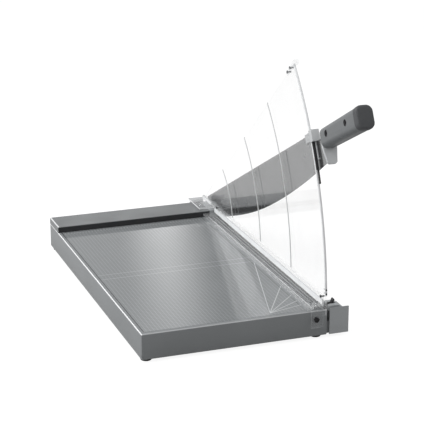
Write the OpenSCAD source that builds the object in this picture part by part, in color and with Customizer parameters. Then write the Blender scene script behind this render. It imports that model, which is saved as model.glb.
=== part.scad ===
// Lever paper cutter for A3 sheets: a flat base with a printed table, a fence, a clear
// guard that also clamps the paper, and a long curved blade on a pivoted arm.
// X runs across the base to the cutting side, Y from the front to the fence, Z up.
// The origin lies on the ground under the middle of the cutter with its arm raised.

/* [Base] */
// Width of the base up to the cutting face
base_w = 277; // [240:1:320]
// Depth of the base from the front face to the back
base_d = 510; // [480:1:560]
// Height of the rim above the underside of the base
rim_h = 38.4; // [36:0.2:44]
// Width of the rim left of the table
rim_side_w = 5; // [3:0.5:10]
// Width of the rim in front of the table
rim_front_w = 7; // [5:0.5:9]
// Thickness of the housing walls
wall_t = 2.5; // [2:0.1:3.5]
// Thickness of the deck under the table plate
deck_t = 2.5; // [2:0.1:3.5]
// How far the table lies below the rim
table_drop = 0.3; // [0.2:0.1:0.8]
// Thickness of the printed table plate
table_t = 1.5; // [1:0.1:2.5]
// Width of the scale strip beside the cut
scale_w = 15; // [14:0.5:20]
// Height of the rubber feet below the base
foot_h = 4.2; // [2:0.1:5]
// Radius of the rubber feet
foot_r = 8; // [6:0.5:9]

/* [Fence] */
// Depth of the fence
fence_d = 53.5; // [48:0.5:58]
// Height of the fence above the rim
fence_h = 9.8; // [8:0.2:12]
// Thickness of the brushed cover on the fence
cover_t = 1; // [0.8:0.1:1.5]

/* [Fixed blade] */
// Thickness of the fixed blade on the side of the base
counter_t = 4; // [3.5:0.1:5]
// Height of the fixed blade's lower edge over the underside of the base
counter_z = 8.1; // [7.6:0.1:12]
// Number of screws that hold the fixed blade
counter_screw_count = 5; // [3:1:7]

/* [Arm] */
// Height of the pivot above the underside of the base
pivot_h = 34; // [32:0.5:36]
// Distance of the pivot from the back of the base
pivot_back = 24; // [22:0.5:26]
// Angle of the raised arm above the table, as it stands at rest
arm_angle = 27.7; // [20:0.1:34]
// Thickness of the blade
blade_t = 3; // [2.5:0.1:4]
// Gap between the blade and the fixed blade
cut_gap = 0.4; // [0.3:0.05:0.5]
// How far the blade reaches past the rim of the guard
blade_past = 41.5; // [40:0.5:60]
// Height of the back edge of the blade above the pivot line
blade_top = 24.5; // [22:0.5:28]
// Depth of the cutting edge below the pivot line at its lowest point
belly_depth = 40.3; // [36:0.5:42]
// Distance of the lowest point of the cutting edge from the pivot
belly_at = 300; // [280:5:320]
// Radius of the heel round the pivot
heel_r = 14; // [13:0.5:16]

/* [Grip] */
// Length of the two grip halves
grip_l = 121; // [110:0.5:125]
// Width of the grip across both halves
grip_w = 25; // [24:0.5:30]
// Height of the grip at its root
grip_root_h = 29.5; // [28:0.5:34]
// Height of the grip at its end
grip_end_h = 32.5; // [30:0.5:38]
// Length of the rubber cap on the end of the grip
cap_l = 9; // [9:0.5:14]

/* [Guard] */
// Thickness of the clear guard plate
guard_t = 3; // [2.6:0.1:3.2]
// How far the rim of the guard stands in front of the base
rim_proud = 4; // [3.5:0.5:6]
// Angle of the top corner of the guard above the pivot
guard_angle = 43.1; // [42:0.1:45]
// Slope of the straight top edge of the guard
guard_slope = 39.2; // [37:0.1:41]
// Spacing of the arcs scored into the guard
arc_pitch = 124; // [100:1:140]
// Radius of the first scored arc
arc_first_r = 115; // [100:1:130]
// Width of the clamping flange over the table
flange_w = 22; // [20:0.5:26]
// Thickness of the clear clamping rail
rail_t = 2.5; // [2:0.1:3]
// Gap for paper between the table and the raised flange
paper_gap = 4.1; // [4.1:0.1:6]
// How far the guard goes down to clamp the paper
clamp_travel = 3.5; // [2:0.1:3.5]

/* [Latch] */
// Width of the end plate right of the cut
end_w = 29.6; // [28:0.2:36]
// Height of the end plate
end_h = 39.6; // [37:0.2:41]
// Height of the latch lever above its pin
lever_h = 19.3; // [18:0.1:22]
// Lean of the open lever
lever_lean = 17; // [12:0.5:18]

/* [Hidden] */
$fn = 64;
// Facets of the long arcs, and of the shapes that a hull rounds
fine = 720;
soft = 32;
// Overrun of a cut beyond the faces that it opens
cut = 1;
// Radial clearance of a screw or spring in its hole, and of a hinge pin in its bore
hole_gap = 0.15;
run_gap = 0.05;
// Gap between pieces that pass each other, and between a piece and a seat it nearly meets
pass_gap = 0.6;
seat_gap = 0.3;

// Levels and lines that several pieces share, from the underside of the base
table_z = rim_h - table_drop;
deck_z = table_z - table_t;
deck_under_z = deck_z - deck_t;
fence_y = base_d - fence_d;
fence_z = rim_h + fence_h;
pivot_y = base_d - pivot_back;
guard_r = pivot_y + rim_proud;
blade_l = guard_r + blade_past;
counter_x = base_w - counter_t;
blade_x = base_w + cut_gap;
blade_out_x = blade_x + blade_t;
blade_mid_x = blade_x + blade_t / 2;
end_x = blade_out_x + pass_gap;

// The guard stands left of the blade, with a fin of the arm's collar between them
fin_t = 1.7;
guard_out_x = blade_x - fin_t - pass_gap - cut / 10;
guard_x = guard_out_x - guard_t;
flange_z = table_z + paper_gap;
guard_low_z = fence_z + clamp_travel + pass_gap;
rail_y = 2;
rail_back_y = fence_y - rail_y;
rail_lap = 8;
rail_top_z = guard_low_z + rail_lap;
rail_x = guard_x - rail_t;

// Guides of the guard: a leg on the front face and one on the back, with shoulder screws
guide_t = 4;
guide_w = 18;
guide_x = rail_x - guide_w;
shoulder_r = 2.5;
shoulder_head_r = 3.8;
shoulder_head_h = 2;
shoulder_l = 6;
shoulder_x = guide_x + guide_w * 0.4;
front_shoulder_z = 26.7;
rear_shoulder_z = 26;
rear_shoulder_x = shoulder_x - shoulder_head_r;

// The arm's collar lies in front of the rim, with a saddle behind it on the blade
collar_u = guard_r + 2 * pass_gap;
collar_l = 7.8;
collar_end = collar_u + collar_l;
saddle_l = 30;
saddle_u = guard_r - saddle_l;

// The grip follows the blade behind the knuckle guard
knuckle_t = 4.5;
grip_at = blade_l + knuckle_t;
grip_top = 20;
grip_end_top = 19.5;
grip_round = 9;
cap_proud = 0.5;
cap_bottom = grip_end_top - grip_end_h - cap_proud;

// Rounding of the cap: distance along it, and how far its outline draws in there
cap_round = 5;
cap_steps = [[1, 0], [cap_l * 0.65, 0], [cap_l * 0.9, cap_round * 0.32], [cap_l, cap_round]];

// Frame of the finished part: the cap reaches furthest forward, the rear guide screw back
reach_front = pivot_y - max([for (step = cap_steps)
  (grip_at + grip_l + step[0]) * cos(arm_angle) - (cap_bottom + step[1]) * sin(arm_angle)]);
reach_back = base_d + seat_gap + guide_t + shoulder_head_h;
mid_x = (end_x + end_w) / 2;
mid_y = (reach_front + reach_back) / 2;

module place() {
  translate([-mid_x, -mid_y, foot_h]) children();
}

// Frame of the arm: X across, Y back along the arm to the pivot, Z square to the arm
module on_arm() {
  place() translate([0, pivot_y, pivot_h]) rotate([-arm_angle, 0, 0]) children();
}

// Sheet from x to x + t with its outline in the side view (Y, Z)
module side_sheet(x, t) {
  translate([x, 0, 0]) rotate([90, 0, 90]) linear_extrude(t) children();
}

// Sheet of the arm with its outline as distance from the pivot and height
module arm_sheet(x, t) {
  side_sheet(x, t) mirror([1, 0]) children();
}

// Sheet from y to y + t with its outline in the front view (X, Z)
module front_sheet(y, t) {
  translate([0, y + t, 0]) rotate([90, 0, 0]) linear_extrude(t) children();
}

// Slab across the arm from distance u to u + t, with its outline as X and height
module arm_slab(u, t) {
  front_sheet(-u - t, t) children();
}

// Block between two opposite corners
module block(a, b) {
  translate(a) cube(b - a);
}

module rod_x(r, l) {
  rotate([0, 90, 0]) cylinder(r = r, h = l);
}

module rod_y(r, l) {
  rotate([-90, 0, 0]) cylinder(r = r, h = l);
}

// Screw with its head on the plane z = 0 and its shank going down, with a hexagon socket
module screw(r, l, head_r, head_h) {
  difference() {
    union() {
      cylinder(r = head_r, h = head_h);
      translate([0, 0, -l]) cylinder(r = r, h = l);
    }
    translate([0, 0, head_h / 2]) cylinder(r = head_r / 2, h = head_h, $fn = 6);
  }
}

// Housing: a pressed box, open below, with a recessed deck and a pocket for the fixed blade
rim_edge = 1;
boss_r = 4.5;
cavity_x = counter_x - wall_t;
plate_t = 1.2;
small_r = 1.5;
small_hole_r = small_r + hole_gap;
thread_l = 10;
head_r = 2.8;
head_h = 1.6;
foot_inset_x = 10;
foot_inset_y = 12;
foot_right_x = counter_x - foot_inset_x + cut;
foot_places = [
  [foot_inset_x, foot_inset_y], [foot_right_x, foot_inset_y],
  [foot_inset_x, base_d - foot_inset_y], [foot_right_x, base_d - foot_inset_y]];
plate_row_shares = [0.35, 0.68];
plate_screw_places = [
  for (share = plate_row_shares, x = [foot_inset_x, cavity_x - foot_inset_x + boss_r / 2])
    [x, base_d * share]];
fence_screw_shares = [0.12, 0.5, 0.88];
fence_w = guard_x - rail_t * 4;
fence_screw_places = [for (share = fence_screw_shares) [fence_w * share, base_d - fence_d / 2]];

// Seat of the pivot block in the back corner
block_x = fence_w + seat_gap;
block_y = fence_y + pass_gap;
block_back_y = base_d - wall_t;
block_z = 10;
seat_z = 4;
block_head_r = 3.4;
block_screw_x = block_x + block_head_r + seat_gap;
block_screw_ys = [block_y + 2 * block_head_r, pivot_y];

// Screws of the fixed blade
counter_end_y = block_y - seat_gap;
counter_screw_z = 20;
counter_screw_inset = 34;
counter_pitch = (counter_end_y - 2 * counter_screw_inset) / (counter_screw_count - 1);
counter_screw_ys = [for (i = [0 : counter_screw_count - 1]) counter_screw_inset + i * counter_pitch];
counter_r = 2;
counter_head_r = 4;
counter_boss_l = 9;

// Lift springs of the guard, one under the flange and one under the rear guide
spring_l = 12.2;
spring_r = 2.8;
wire_r = 0.4;
spring_turns = 7;
spring_wall = 2.5;
spring_hole_r = spring_r + wire_r + hole_gap;
spring_x = guard_x - 2 * boss_r;
front_spring_y = rim_front_w + spring_hole_r + spring_wall;
rear_spring_x = fence_w - spring_hole_r - spring_wall;
rear_spring_y = base_d - fence_d / 2 + boss_r;

// Screws that hold the carrier of the latch to the side of the base
carrier_screw_z = 4.6;
carrier_screw_l = 34;
carrier_d = 28;
carrier_y = wall_t - rim_edge / 2;
carrier_back_y = carrier_y + carrier_d;
carrier_screw_ys = [carrier_y + carrier_d * 0.4, carrier_y + carrier_d * 0.88];

module housing_outer() {
  intersection() {
    front_sheet(0, base_d) polygon([
      [0, 0], [base_w, 0], [base_w, rim_h], [rim_edge, rim_h], [0, rim_h - rim_edge]]);
    side_sheet(0, base_w) polygon([
      [0, 0], [base_d, 0], [base_d, rim_h], [rim_edge, rim_h], [0, rim_h - rim_edge]]);
  }
}

module base_housing() {
  color("#8f9497") place() difference() {
    union() {
      difference() {
        housing_outer();
        block([wall_t, wall_t, -cut], [cavity_x, base_d - wall_t, deck_under_z]);
      }
      for (p = concat(foot_places, plate_screw_places))
        translate([p[0], p[1], plate_t]) cylinder(r = boss_r, h = deck_z - plate_t - deck_t / 2);
      for (y = counter_screw_ys)
        translate([cavity_x - counter_boss_l, y, counter_screw_z])
          rod_x(boss_r, counter_boss_l + wall_t / 2);
      translate([spring_x, front_spring_y, flange_z - spring_l - spring_wall])
        cylinder(r = spring_hole_r + spring_wall, h = spring_l - paper_gap);
      block([block_x - wall_t, block_y - wall_t, seat_z], [base_w, block_back_y + wall_t / 2, block_z]);
      block([block_x - wall_t, block_y - wall_t, block_z], [block_x, block_back_y + wall_t / 2, rim_h]);
      block([block_x - wall_t, block_y - wall_t, block_z], [counter_x, block_y, deck_z]);
    }
    block([rim_side_w, rim_front_w, deck_z], [base_w + cut, fence_y + rim_front_w / 2, rim_h + cut]);
    block([counter_x, wall_t, counter_z], [base_w + cut, block_y + cut, rim_h + cut]);
    block([block_x, block_y, block_z], [base_w + cut, block_back_y, rim_h + cut]);
    translate([spring_x, front_spring_y, flange_z - spring_l]) cylinder(r = spring_hole_r, h = spring_l);
    for (p = concat(foot_places, plate_screw_places))
      translate([p[0], p[1], 0]) cylinder(r = small_hole_r, h = thread_l + plate_t);
    for (p = fence_screw_places)
      translate([p[0], p[1], deck_under_z - cut])
        cylinder(r = small_hole_r, h = 2 * cut + rim_h - deck_under_z);
    for (y = block_screw_ys)
      translate([block_screw_x, y, seat_z - cut])
        cylinder(r = counter_r + hole_gap, h = 2 * cut + block_z - seat_z);
    for (y = counter_screw_ys)
      translate([cavity_x - counter_boss_l - cut, y, counter_screw_z])
        rod_x(counter_r + hole_gap, counter_boss_l + wall_t + 2 * cut);
    for (y = carrier_screw_ys)
      translate([cavity_x + seat_gap, y, carrier_screw_z]) rod_x(small_hole_r, base_w);
    translate([shoulder_x, -cut, front_shoulder_z]) rod_y(small_hole_r, wall_t + 2 * cut);
    translate([rear_shoulder_x, base_d - thread_l, rear_shoulder_z]) rod_y(small_hole_r, thread_l + cut);
  }
}

// Bottom plate inside the walls, with its screws
module bottom_plate() {
  color("#6f7476") place() difference() {
    block([wall_t + seat_gap, wall_t + seat_gap, 0],
          [cavity_x - seat_gap, base_d - wall_t - seat_gap, plate_t]);
    for (p = concat(foot_places, plate_screw_places))
      translate([p[0], p[1], -cut]) cylinder(r = small_hole_r, h = plate_t + 2 * cut);
  }
}

module bottom_screws() {
  color("#303234") place() for (p = plate_screw_places)
    translate([p[0], p[1], 0]) rotate([180, 0, 0]) screw(small_r, thread_l, head_r, head_h);
}

// Rubber foot with a rounded edge and a sunk screw
foot_round = 1.2;
foot_sink = 1.8;

module rubber_feet() {
  color("#17181a") place() for (p = foot_places)
    translate([p[0], p[1], -foot_h]) difference() {
      rotate_extrude() difference() {
        square([foot_r, foot_h]);
        difference() {
          translate([foot_r - foot_round, 0]) square(foot_round);
          translate([foot_r - foot_round, foot_round]) circle(foot_round);
        }
      }
      translate([0, 0, -cut]) cylinder(r = head_r + hole_gap, h = foot_sink + cut);
      cylinder(r = small_hole_r, h = foot_h + cut);
    }
}

module foot_screws() {
  color("#303234") place() for (p = foot_places)
    translate([p[0], p[1], foot_sink - foot_h]) rotate([180, 0, 0])
      screw(small_r, thread_l, head_r, head_h);
}

// Table: a printed plate and a scale strip along the cut, both tucked under the fence
table_back_y = fence_y + rim_front_w / 2 - seat_gap / 2;

module table_plate() {
  color("#a9aeb1") place()
    block([rim_side_w, rim_front_w, deck_z], [counter_x - scale_w, table_back_y, table_z]);
}

module scale_strip() {
  color("#b7bcbf") place() difference() {
    block([counter_x - scale_w, rim_front_w, deck_z], [counter_x, fence_y, table_z]);
    translate([spring_x, front_spring_y, 0]) cylinder(r = spring_hole_r, h = rim_h + cut);
  }
}

// Fence: a dark hollow bar under a brushed cover that wraps its top, back and left end
fence_wall = 3.4;
cover_lip = 0.8;
fence_boss_r = 5;

module fence_body() {
  color("#26282a") place() difference() {
    union() {
      difference() {
        block([cover_t, fence_y + cover_lip, rim_h], [fence_w, base_d - cover_t, fence_z - cover_t]);
        block([cover_t + fence_wall, fence_y + cover_lip + fence_wall, rim_h - cut],
              [fence_w - fence_wall, base_d - cover_t - fence_wall, fence_z - cover_t - fence_wall / 2]);
      }
      for (p = fence_screw_places)
        translate([p[0], p[1], rim_h]) cylinder(r = fence_boss_r, h = fence_h - cover_t * 2);
      translate([rear_spring_x, rear_spring_y, rim_h])
        cylinder(r = spring_hole_r + spring_wall, h = fence_h - cover_t * 2);
    }
    for (p = fence_screw_places)
      translate([p[0], p[1], rim_h - cut]) cylinder(r = small_hole_r, h = cut + fence_h - cover_t * 2);
    translate([rear_spring_x, rear_spring_y, guard_low_z - spring_l])
      cylinder(r = spring_hole_r, h = spring_l);
  }
}

module fence_cover() {
  color("#a3a7aa") place() difference() {
    union() {
      block([0, fence_y, fence_z - cover_t], [fence_w, base_d, fence_z]);
      block([0, fence_y, rim_h], [cover_t, base_d, fence_z]);
      block([0, base_d - cover_t, rim_h], [fence_w, base_d, fence_z]);
    }
    translate([rear_spring_x, rear_spring_y, rim_h]) cylinder(r = spring_hole_r, h = fence_h + cut);
  }
}

module fence_screws() {
  color("#303234") place() for (p = fence_screw_places)
    translate([p[0], p[1], deck_under_z]) rotate([180, 0, 0])
      screw(small_r, rim_h - deck_under_z + fence_h - cover_t * 3, head_r, head_h);
}

// Fixed blade, let in flush with the table along the cutting side
module counter_blade() {
  color("#c3c7ca") place() difference() {
    block([counter_x, wall_t, counter_z], [base_w, counter_end_y, table_z]);
    for (y = counter_screw_ys) translate([counter_x - cut, y, counter_screw_z]) {
      rod_x(counter_r + hole_gap, counter_t + 2 * cut);
      translate([cut + counter_t - counter_head_r + counter_r, 0, 0]) rotate([0, 90, 0])
        cylinder(r1 = counter_r, r2 = counter_head_r, h = counter_head_r - counter_r);
    }
  }
}

module counter_blade_screws() {
  color("#7d8184") place() for (y = counter_screw_ys)
    translate([base_w - hole_gap, y, counter_screw_z]) rotate([0, -90, 0]) {
      cylinder(r1 = counter_head_r - hole_gap * 2, r2 = counter_r - hole_gap,
               h = counter_head_r - counter_r);
      cylinder(r = counter_r - hole_gap, h = counter_t + wall_t + counter_boss_l);
    }
}

// Pivot block, a casting that carries the shoulder bolt of the arm
bolt_r = 6;
thread_r = 5;
bolt_head_r = 9.5;
bolt_head_h = 5;
washer_r = 12;
washer_t = 1.2;
cup_t = 0.7;
cup_rise = 0.6;
thrust_t = cut_gap - 2 * run_gap;
outer_washer_x = blade_out_x + 2 * run_gap;
cup_x = outer_washer_x + washer_t;
bolt_head_x = cup_x + 2 * (cup_t + cup_rise);

module pivot_block() {
  color("#b9bdc0") place() difference() {
    block([block_x, block_y, block_z], [base_w, block_back_y, fence_z]);
    translate([block_x + wall_t, pivot_y, pivot_h]) rod_x(thread_r + hole_gap, base_w);
    for (y = block_screw_ys)
      translate([block_screw_x, y, block_z - cut]) cylinder(r = counter_r + hole_gap, h = thread_l + cut);
  }
}

module pivot_block_screws() {
  color("#303234") place() for (y = block_screw_ys)
    translate([block_screw_x, y, seat_z]) rotate([180, 0, 0])
      screw(counter_r, block_z - seat_z + thread_l - cut, block_head_r, head_h);
}

module pivot_bolt() {
  color("#8d9194") place() translate([0, pivot_y, pivot_h]) difference() {
    union() {
      translate([block_x + wall_t + seat_gap, 0, 0]) rod_x(thread_r, base_w - block_x - wall_t);
      translate([base_w, 0, 0]) rod_x(bolt_r, bolt_head_x - base_w);
      translate([bolt_head_x, 0, 0]) rod_x(bolt_head_r, bolt_head_h);
    }
    translate([bolt_head_x + bolt_head_h / 2, 0, 0]) rotate([0, 90, 0])
      cylinder(r = bolt_head_r / 2, h = bolt_head_h, $fn = 6);
  }
}

// Washer round the pivot bolt, from x to x + t
module pivot_ring(x, t, r) {
  place() translate([x, pivot_y, pivot_h]) difference() {
    rod_x(r, t);
    translate([-cut, 0, 0]) rod_x(bolt_r + run_gap, t + 2 * cut);
  }
}

module thrust_washer() {
  color("#b08d4a") pivot_ring(base_w, thrust_t, washer_r);
}

module outer_washer() {
  color("#b9bdc0") pivot_ring(outer_washer_x, washer_t, washer_r);
}

// Pair of cup springs that keep the blade pressed against the fixed blade
module cup_springs() {
  color("#7d8184") place() translate([cup_x, pivot_y, pivot_h]) rotate([0, 90, 0])
    for (flip = [0, 1]) translate([0, 0, flip * 2 * (cup_t + cup_rise)]) mirror([0, 0, flip])
      rotate_extrude() polygon([
        [bolt_r + run_gap, cup_rise], [washer_r - cut, 0],
        [washer_r - cut, cup_t], [bolt_r + run_gap, cup_rise + cup_t]]);
}

// Shoulder screw along Y that a guide slides on, with its seat on the plane y = 0
module shoulder_screw() {
  rotate([90, 0, 0]) {
    translate([0, 0, -shoulder_l]) cylinder(r = small_r, h = shoulder_l);
    cylinder(r = shoulder_r, h = guide_t + 2 * seat_gap);
    translate([0, 0, guide_t + 2 * seat_gap]) difference() {
      cylinder(r = shoulder_head_r, h = shoulder_head_h - seat_gap);
      translate([0, 0, shoulder_head_h / 2]) cylinder(r = shoulder_r, h = shoulder_head_h, $fn = 6);
    }
  }
}

module front_guide_screw() {
  color("#1d1e20") place() translate([shoulder_x, 0, front_shoulder_z]) shoulder_screw();
}

module rear_guide_screw() {
  color("#1d1e20") place() translate([rear_shoulder_x, base_d, rear_shoulder_z])
    rotate(180) shoulder_screw();
}

// Coil spring: one unbroken wire wound round Z, with its ends square to the wire
wire_sides = 6;
coil_rings = 8;
coil_pitch = (spring_l - 2 * wire_r) / spring_turns;

function coil_point(turn, a) = let (side = spring_r + wire_r * cos(a))
  [side * cos(turn * 360), side * sin(turn * 360), wire_r + turn * coil_pitch + wire_r * sin(a)];

module lift_spring() {
  last = spring_turns * coil_rings;
  points = [for (i = [0 : last], k = [0 : wire_sides - 1])
    coil_point(i / coil_rings, k * 360 / wire_sides)];
  sides = [for (i = [0 : last - 1], k = [0 : wire_sides - 1])
    let (a = i * wire_sides + k, b = i * wire_sides + (k + 1) % wire_sides)
      each [[a, a + wire_sides, b], [b, a + wire_sides, b + wire_sides]]];
  start = [for (k = [0 : wire_sides - 1]) k];
  end = [for (k = [wire_sides - 1 : -1 : 0]) last * wire_sides + k];
  polyhedron(points, concat(sides, [start, end]));
}

module front_lift_spring() {
  color("#c3c7ca") place()
    translate([spring_x, front_spring_y, flange_z - spring_l]) lift_spring();
}

module rear_lift_spring() {
  color("#c3c7ca") place()
    translate([rear_spring_x, rear_spring_y, guard_low_z - spring_l]) lift_spring();
}

// Carrier of the latch and the end plate, stepped so that the lowered blade clears it
carrier_w = 25;
carrier_z = 1.6;
carrier_step_z = 20;
carrier_top_z = 34;
carrier_end_x = end_x + carrier_w;
end_plate_t = carrier_y;
end_screw_inset = 6;
end_screw_zs = [carrier_step_z / 2 + cut, carrier_top_z - end_screw_inset];
end_screw_x = carrier_end_x - end_screw_inset;
latch_set_back = 2;
latch_y = carrier_y + latch_set_back;
latch_d = 22;
latch_slot_w = 7;
latch_mid_y = latch_y + latch_d / 2;
latch_top_z = 42;
latch_pin_r = 1.5;
latch_pin_inset = 5.6;
latch_pin_x = end_x + latch_pin_inset;
latch_pin_z = 30;
latch_screw_inset = 3.5;
latch_screw_x = end_x + 4 * latch_screw_inset;
latch_screw_ys = [latch_y + latch_screw_inset, latch_y + latch_d - latch_screw_inset];

module end_carrier() {
  color("#2b2d2f") place() difference() {
    front_sheet(carrier_y, carrier_d) polygon([
      [base_w, carrier_z], [carrier_end_x, carrier_z], [carrier_end_x, carrier_top_z],
      [end_x + cut / 4, carrier_top_z], [end_x + cut / 4, carrier_step_z], [base_w, carrier_step_z]]);
    for (y = carrier_screw_ys)
      translate([base_w - cut, y, carrier_screw_z]) rod_x(small_hole_r, carrier_w * 2);
    for (z = end_screw_zs)
      translate([end_screw_x, 0, z]) rod_y(small_hole_r, carrier_back_y + cut);
    for (y = latch_screw_ys)
      translate([latch_screw_x, y, 0]) cylinder(r = small_hole_r, h = carrier_top_z + cut);
    latch_slot();
    latch_pin_hole();
  }
}

module carrier_screws() {
  color("#303234") place() for (y = carrier_screw_ys)
    translate([carrier_end_x, y, carrier_screw_z]) rotate([0, 90, 0])
      screw(small_r, carrier_screw_l, head_r, head_h);
}

module end_plate() {
  color("#a5a9ac") place() difference() {
    block([end_x, 0, 0], [end_x + end_w, end_plate_t, end_h]);
    for (z = end_screw_zs)
      translate([end_screw_x, end_plate_t / 2, z]) rod_y(small_hole_r, end_plate_t);
  }
}

module end_plate_screws() {
  color("#303234") place() for (z = end_screw_zs)
    translate([end_screw_x, carrier_back_y, z]) rotate([-90, 0, 0])
      screw(small_r, carrier_back_y - end_plate_t * 2 / 3, head_r, head_h);
}

// Slot in which the lever swings, open above and towards the blade
latch_slot_run = 8;
latch_slot_drop = 5;
latch_slot_x = latch_pin_x + latch_slot_run;
latch_slot_z = latch_pin_z - latch_slot_drop;

module latch_slot() {
  block([end_x - cut, latch_mid_y - latch_slot_w / 2, latch_slot_z],
        [latch_slot_x, latch_mid_y + latch_slot_w / 2, latch_top_z + cut]);
}

module latch_pin_hole() {
  translate([latch_pin_x, latch_y - cut, latch_pin_z]) rod_y(latch_pin_r + run_gap, latch_d + 2 * cut);
}

// Moulded cover over the carrier, rounded towards the blade and sloping to the right
latch_round = 4;
latch_flat_w = 14;
latch_w = 22;

module latch_housing() {
  color("#b4b8bb") place() difference() {
    front_sheet(latch_y, latch_d) union() {
      translate([end_x + cut / 4, carrier_top_z])
        square([latch_flat_w, latch_top_z - carrier_top_z - latch_round]);
      translate([end_x + cut / 4 + latch_round, carrier_top_z])
        square([latch_flat_w - latch_round, latch_top_z - carrier_top_z]);
      translate([end_x + cut / 4 + latch_round, latch_top_z - latch_round]) circle(latch_round);
      polygon([
        [end_x + latch_flat_w, carrier_top_z], [end_x + latch_w, carrier_top_z],
        [end_x + latch_w, carrier_top_z + latch_round], [end_x + latch_flat_w, latch_top_z]]);
    }
    latch_slot();
    for (y = latch_screw_ys)
      translate([latch_screw_x, y, 0]) cylinder(r = small_hole_r, h = carrier_top_z + latch_round);
  }
}

module latch_screws() {
  color("#303234") place() for (y = latch_screw_ys)
    translate([latch_screw_x, y, carrier_z]) rotate([180, 0, 0])
      screw(small_r, carrier_top_z + latch_round - carrier_z - cut, head_r, cut);
}

module latch_pin() {
  color("#c3c7ca") place()
    translate([latch_pin_x, latch_y + cut / 2, latch_pin_z]) rod_y(latch_pin_r, latch_d - cut);
}

// Lever with a nose that hooks over the catch pin of the lowered arm when it stands upright
lever_t = 5.8;
lever_w = 3;
lever_hub_r = 3.4;
nose_reach = 5.4;
nose_low = 8.8;
nose_high = 11.5;

module latch_lever() {
  color("#141516") place() translate([latch_pin_x, latch_mid_y - lever_t / 2, latch_pin_z])
    rotate([0, lever_lean, 0]) difference() {
      union() {
        rod_y(lever_hub_r, lever_t);
        block([-lever_w / 2, 0, 0], [lever_w / 2, lever_t, lever_h - lever_w / 2]);
        translate([0, 0, lever_h - lever_w / 2]) rod_y(lever_w / 2, lever_t);
        block([-nose_reach, 0, nose_low], [0, lever_t, nose_high]);
      }
      translate([0, -cut, 0]) rod_y(latch_pin_r + run_gap, lever_t + 2 * cut);
    }
}

// Clear guard: a sector round the pivot with a straight top edge and arcs scored in it
guard_back_y = base_d - rail_y;
corner_y = pivot_y - guard_r * cos(guard_angle);
corner_z = pivot_h + guard_r * sin(guard_angle);
guard_back_z = corner_z - (guard_back_y - corner_y) * tan(guard_slope);
rim_w = 3;
rim_inner_r = guard_r - rim_w;
rim_foot_z = guard_low_z + rail_lap;
guard_foot_z = 31;
score_w = 0.8;
score_depth = 0.4;
arc_rs = [for (r = [arc_first_r : arc_pitch : rim_inner_r - arc_pitch / 2]) r];

module pivot_disc(r) {
  translate([pivot_y, pivot_h]) circle(r, $fn = fine);
}

// Everything of the guard's plane that lies in front of the pivot and above the given height
module rim_ring(low_z) {
  intersection() {
    difference() {
      pivot_disc(guard_r);
      pivot_disc(rim_inner_r);
    }
    polygon([
      [pivot_y, low_z], [-guard_r, low_z], [-guard_r, corner_z + guard_r],
      [corner_y - guard_r * cos(guard_angle), corner_z + guard_r * sin(guard_angle)],
      [pivot_y, pivot_h]]);
  }
}

module guard_outline() {
  intersection() {
    pivot_disc(rim_inner_r);
    polygon([
      [-guard_r, guard_low_z], [guard_back_y, guard_low_z], [guard_back_y, guard_back_z],
      [corner_y, corner_z], [corner_y - guard_r * cos(guard_angle), corner_z + guard_r * sin(guard_angle)],
      [-guard_r, corner_z + guard_r]]);
  }
  difference() {
    rim_ring(guard_foot_z);
    rim_ring(rim_foot_z);
  }
}

rail_screw_inset = 6.5;
rail_screw_z = guard_low_z + rail_lap * 0.6;
rail_screw_ys = [rail_screw_inset, rail_back_y - 2 * rail_screw_inset];
rail_screw_r = 1.2;
rail_head_r = 2.2;

module guard_plate() {
  color([0.82, 0.88, 0.9, 0.35]) place() difference() {
    side_sheet(guard_x, guard_t) guard_outline();
    for (r = arc_rs) side_sheet(guard_x - score_depth, 2 * score_depth) intersection() {
      difference() {
        pivot_disc(r + score_w / 2);
        pivot_disc(r - score_w / 2);
      }
      translate([-guard_r, guard_low_z + rail_lap]) square([guard_r + pivot_y, corner_z]);
    }
    for (y = rail_screw_ys)
      translate([guard_x - cut, y, rail_screw_z]) rod_x(rail_screw_r + hole_gap, guard_t + 2 * cut);
    for (r = stop_screw_rs) on_stop() translate([0, -r, 0]) rod_x(rail_screw_r + hole_gap, guard_out_x);
    for (z = rim_screw_zs) rim_screw_at(z) rim_screw_hole();
  }
}

// Grey rail on the rim that runs in the arm's collar, with two screws at its foot
rim_screw_l = 6;
rim_screw_step = 6;
rim_screw_zs = [rim_foot_z + rim_screw_step / 2, rim_foot_z + rim_screw_step * 3 / 2];

module rim_screw_at(z) {
  translate([guard_x + guard_t / 2, pivot_y, pivot_h])
    rotate([-asin((z - pivot_h) / guard_r), 0, 0]) translate([0, -guard_r, 0]) rotate([90, 0, 0]) children();
}

module rim_screw_hole() {
  cylinder(r = small_r / 2 + hole_gap, h = rim_screw_l * 3, center = true);
}

module rim_rail() {
  color("#9ba0a3") place() difference() {
    side_sheet(guard_x, guard_t) rim_ring(rim_foot_z);
    for (z = rim_screw_zs) rim_screw_at(z) rim_screw_hole();
  }
}

module rim_foot_screws() {
  color("#17181a") place() for (z = rim_screw_zs)
    rim_screw_at(z) screw(small_r / 2, rim_screw_l, small_r * 3 / 4, small_r * 2 / 3);
}

// Stop at the top of the rim: a bar beside the plate with a head across the collar's path
stop_w = 5;
stop_t = 2.5;
stop_l = 37;
stop_proud = 10;
stop_root_r = guard_r + stop_proud - stop_l;
stop_head_r = guard_r + stop_proud;
stop_head_w = 8;
stop_angle = guard_angle - atan(stop_w / 2 / guard_r) / 2;
stop_screw_inset = 6;
stop_screw_rs = [stop_root_r + stop_screw_inset, rim_inner_r - stop_screw_inset];

module on_stop() {
  translate([0, pivot_y, pivot_h]) rotate([-stop_angle, 0, 0]) children();
}

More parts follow.
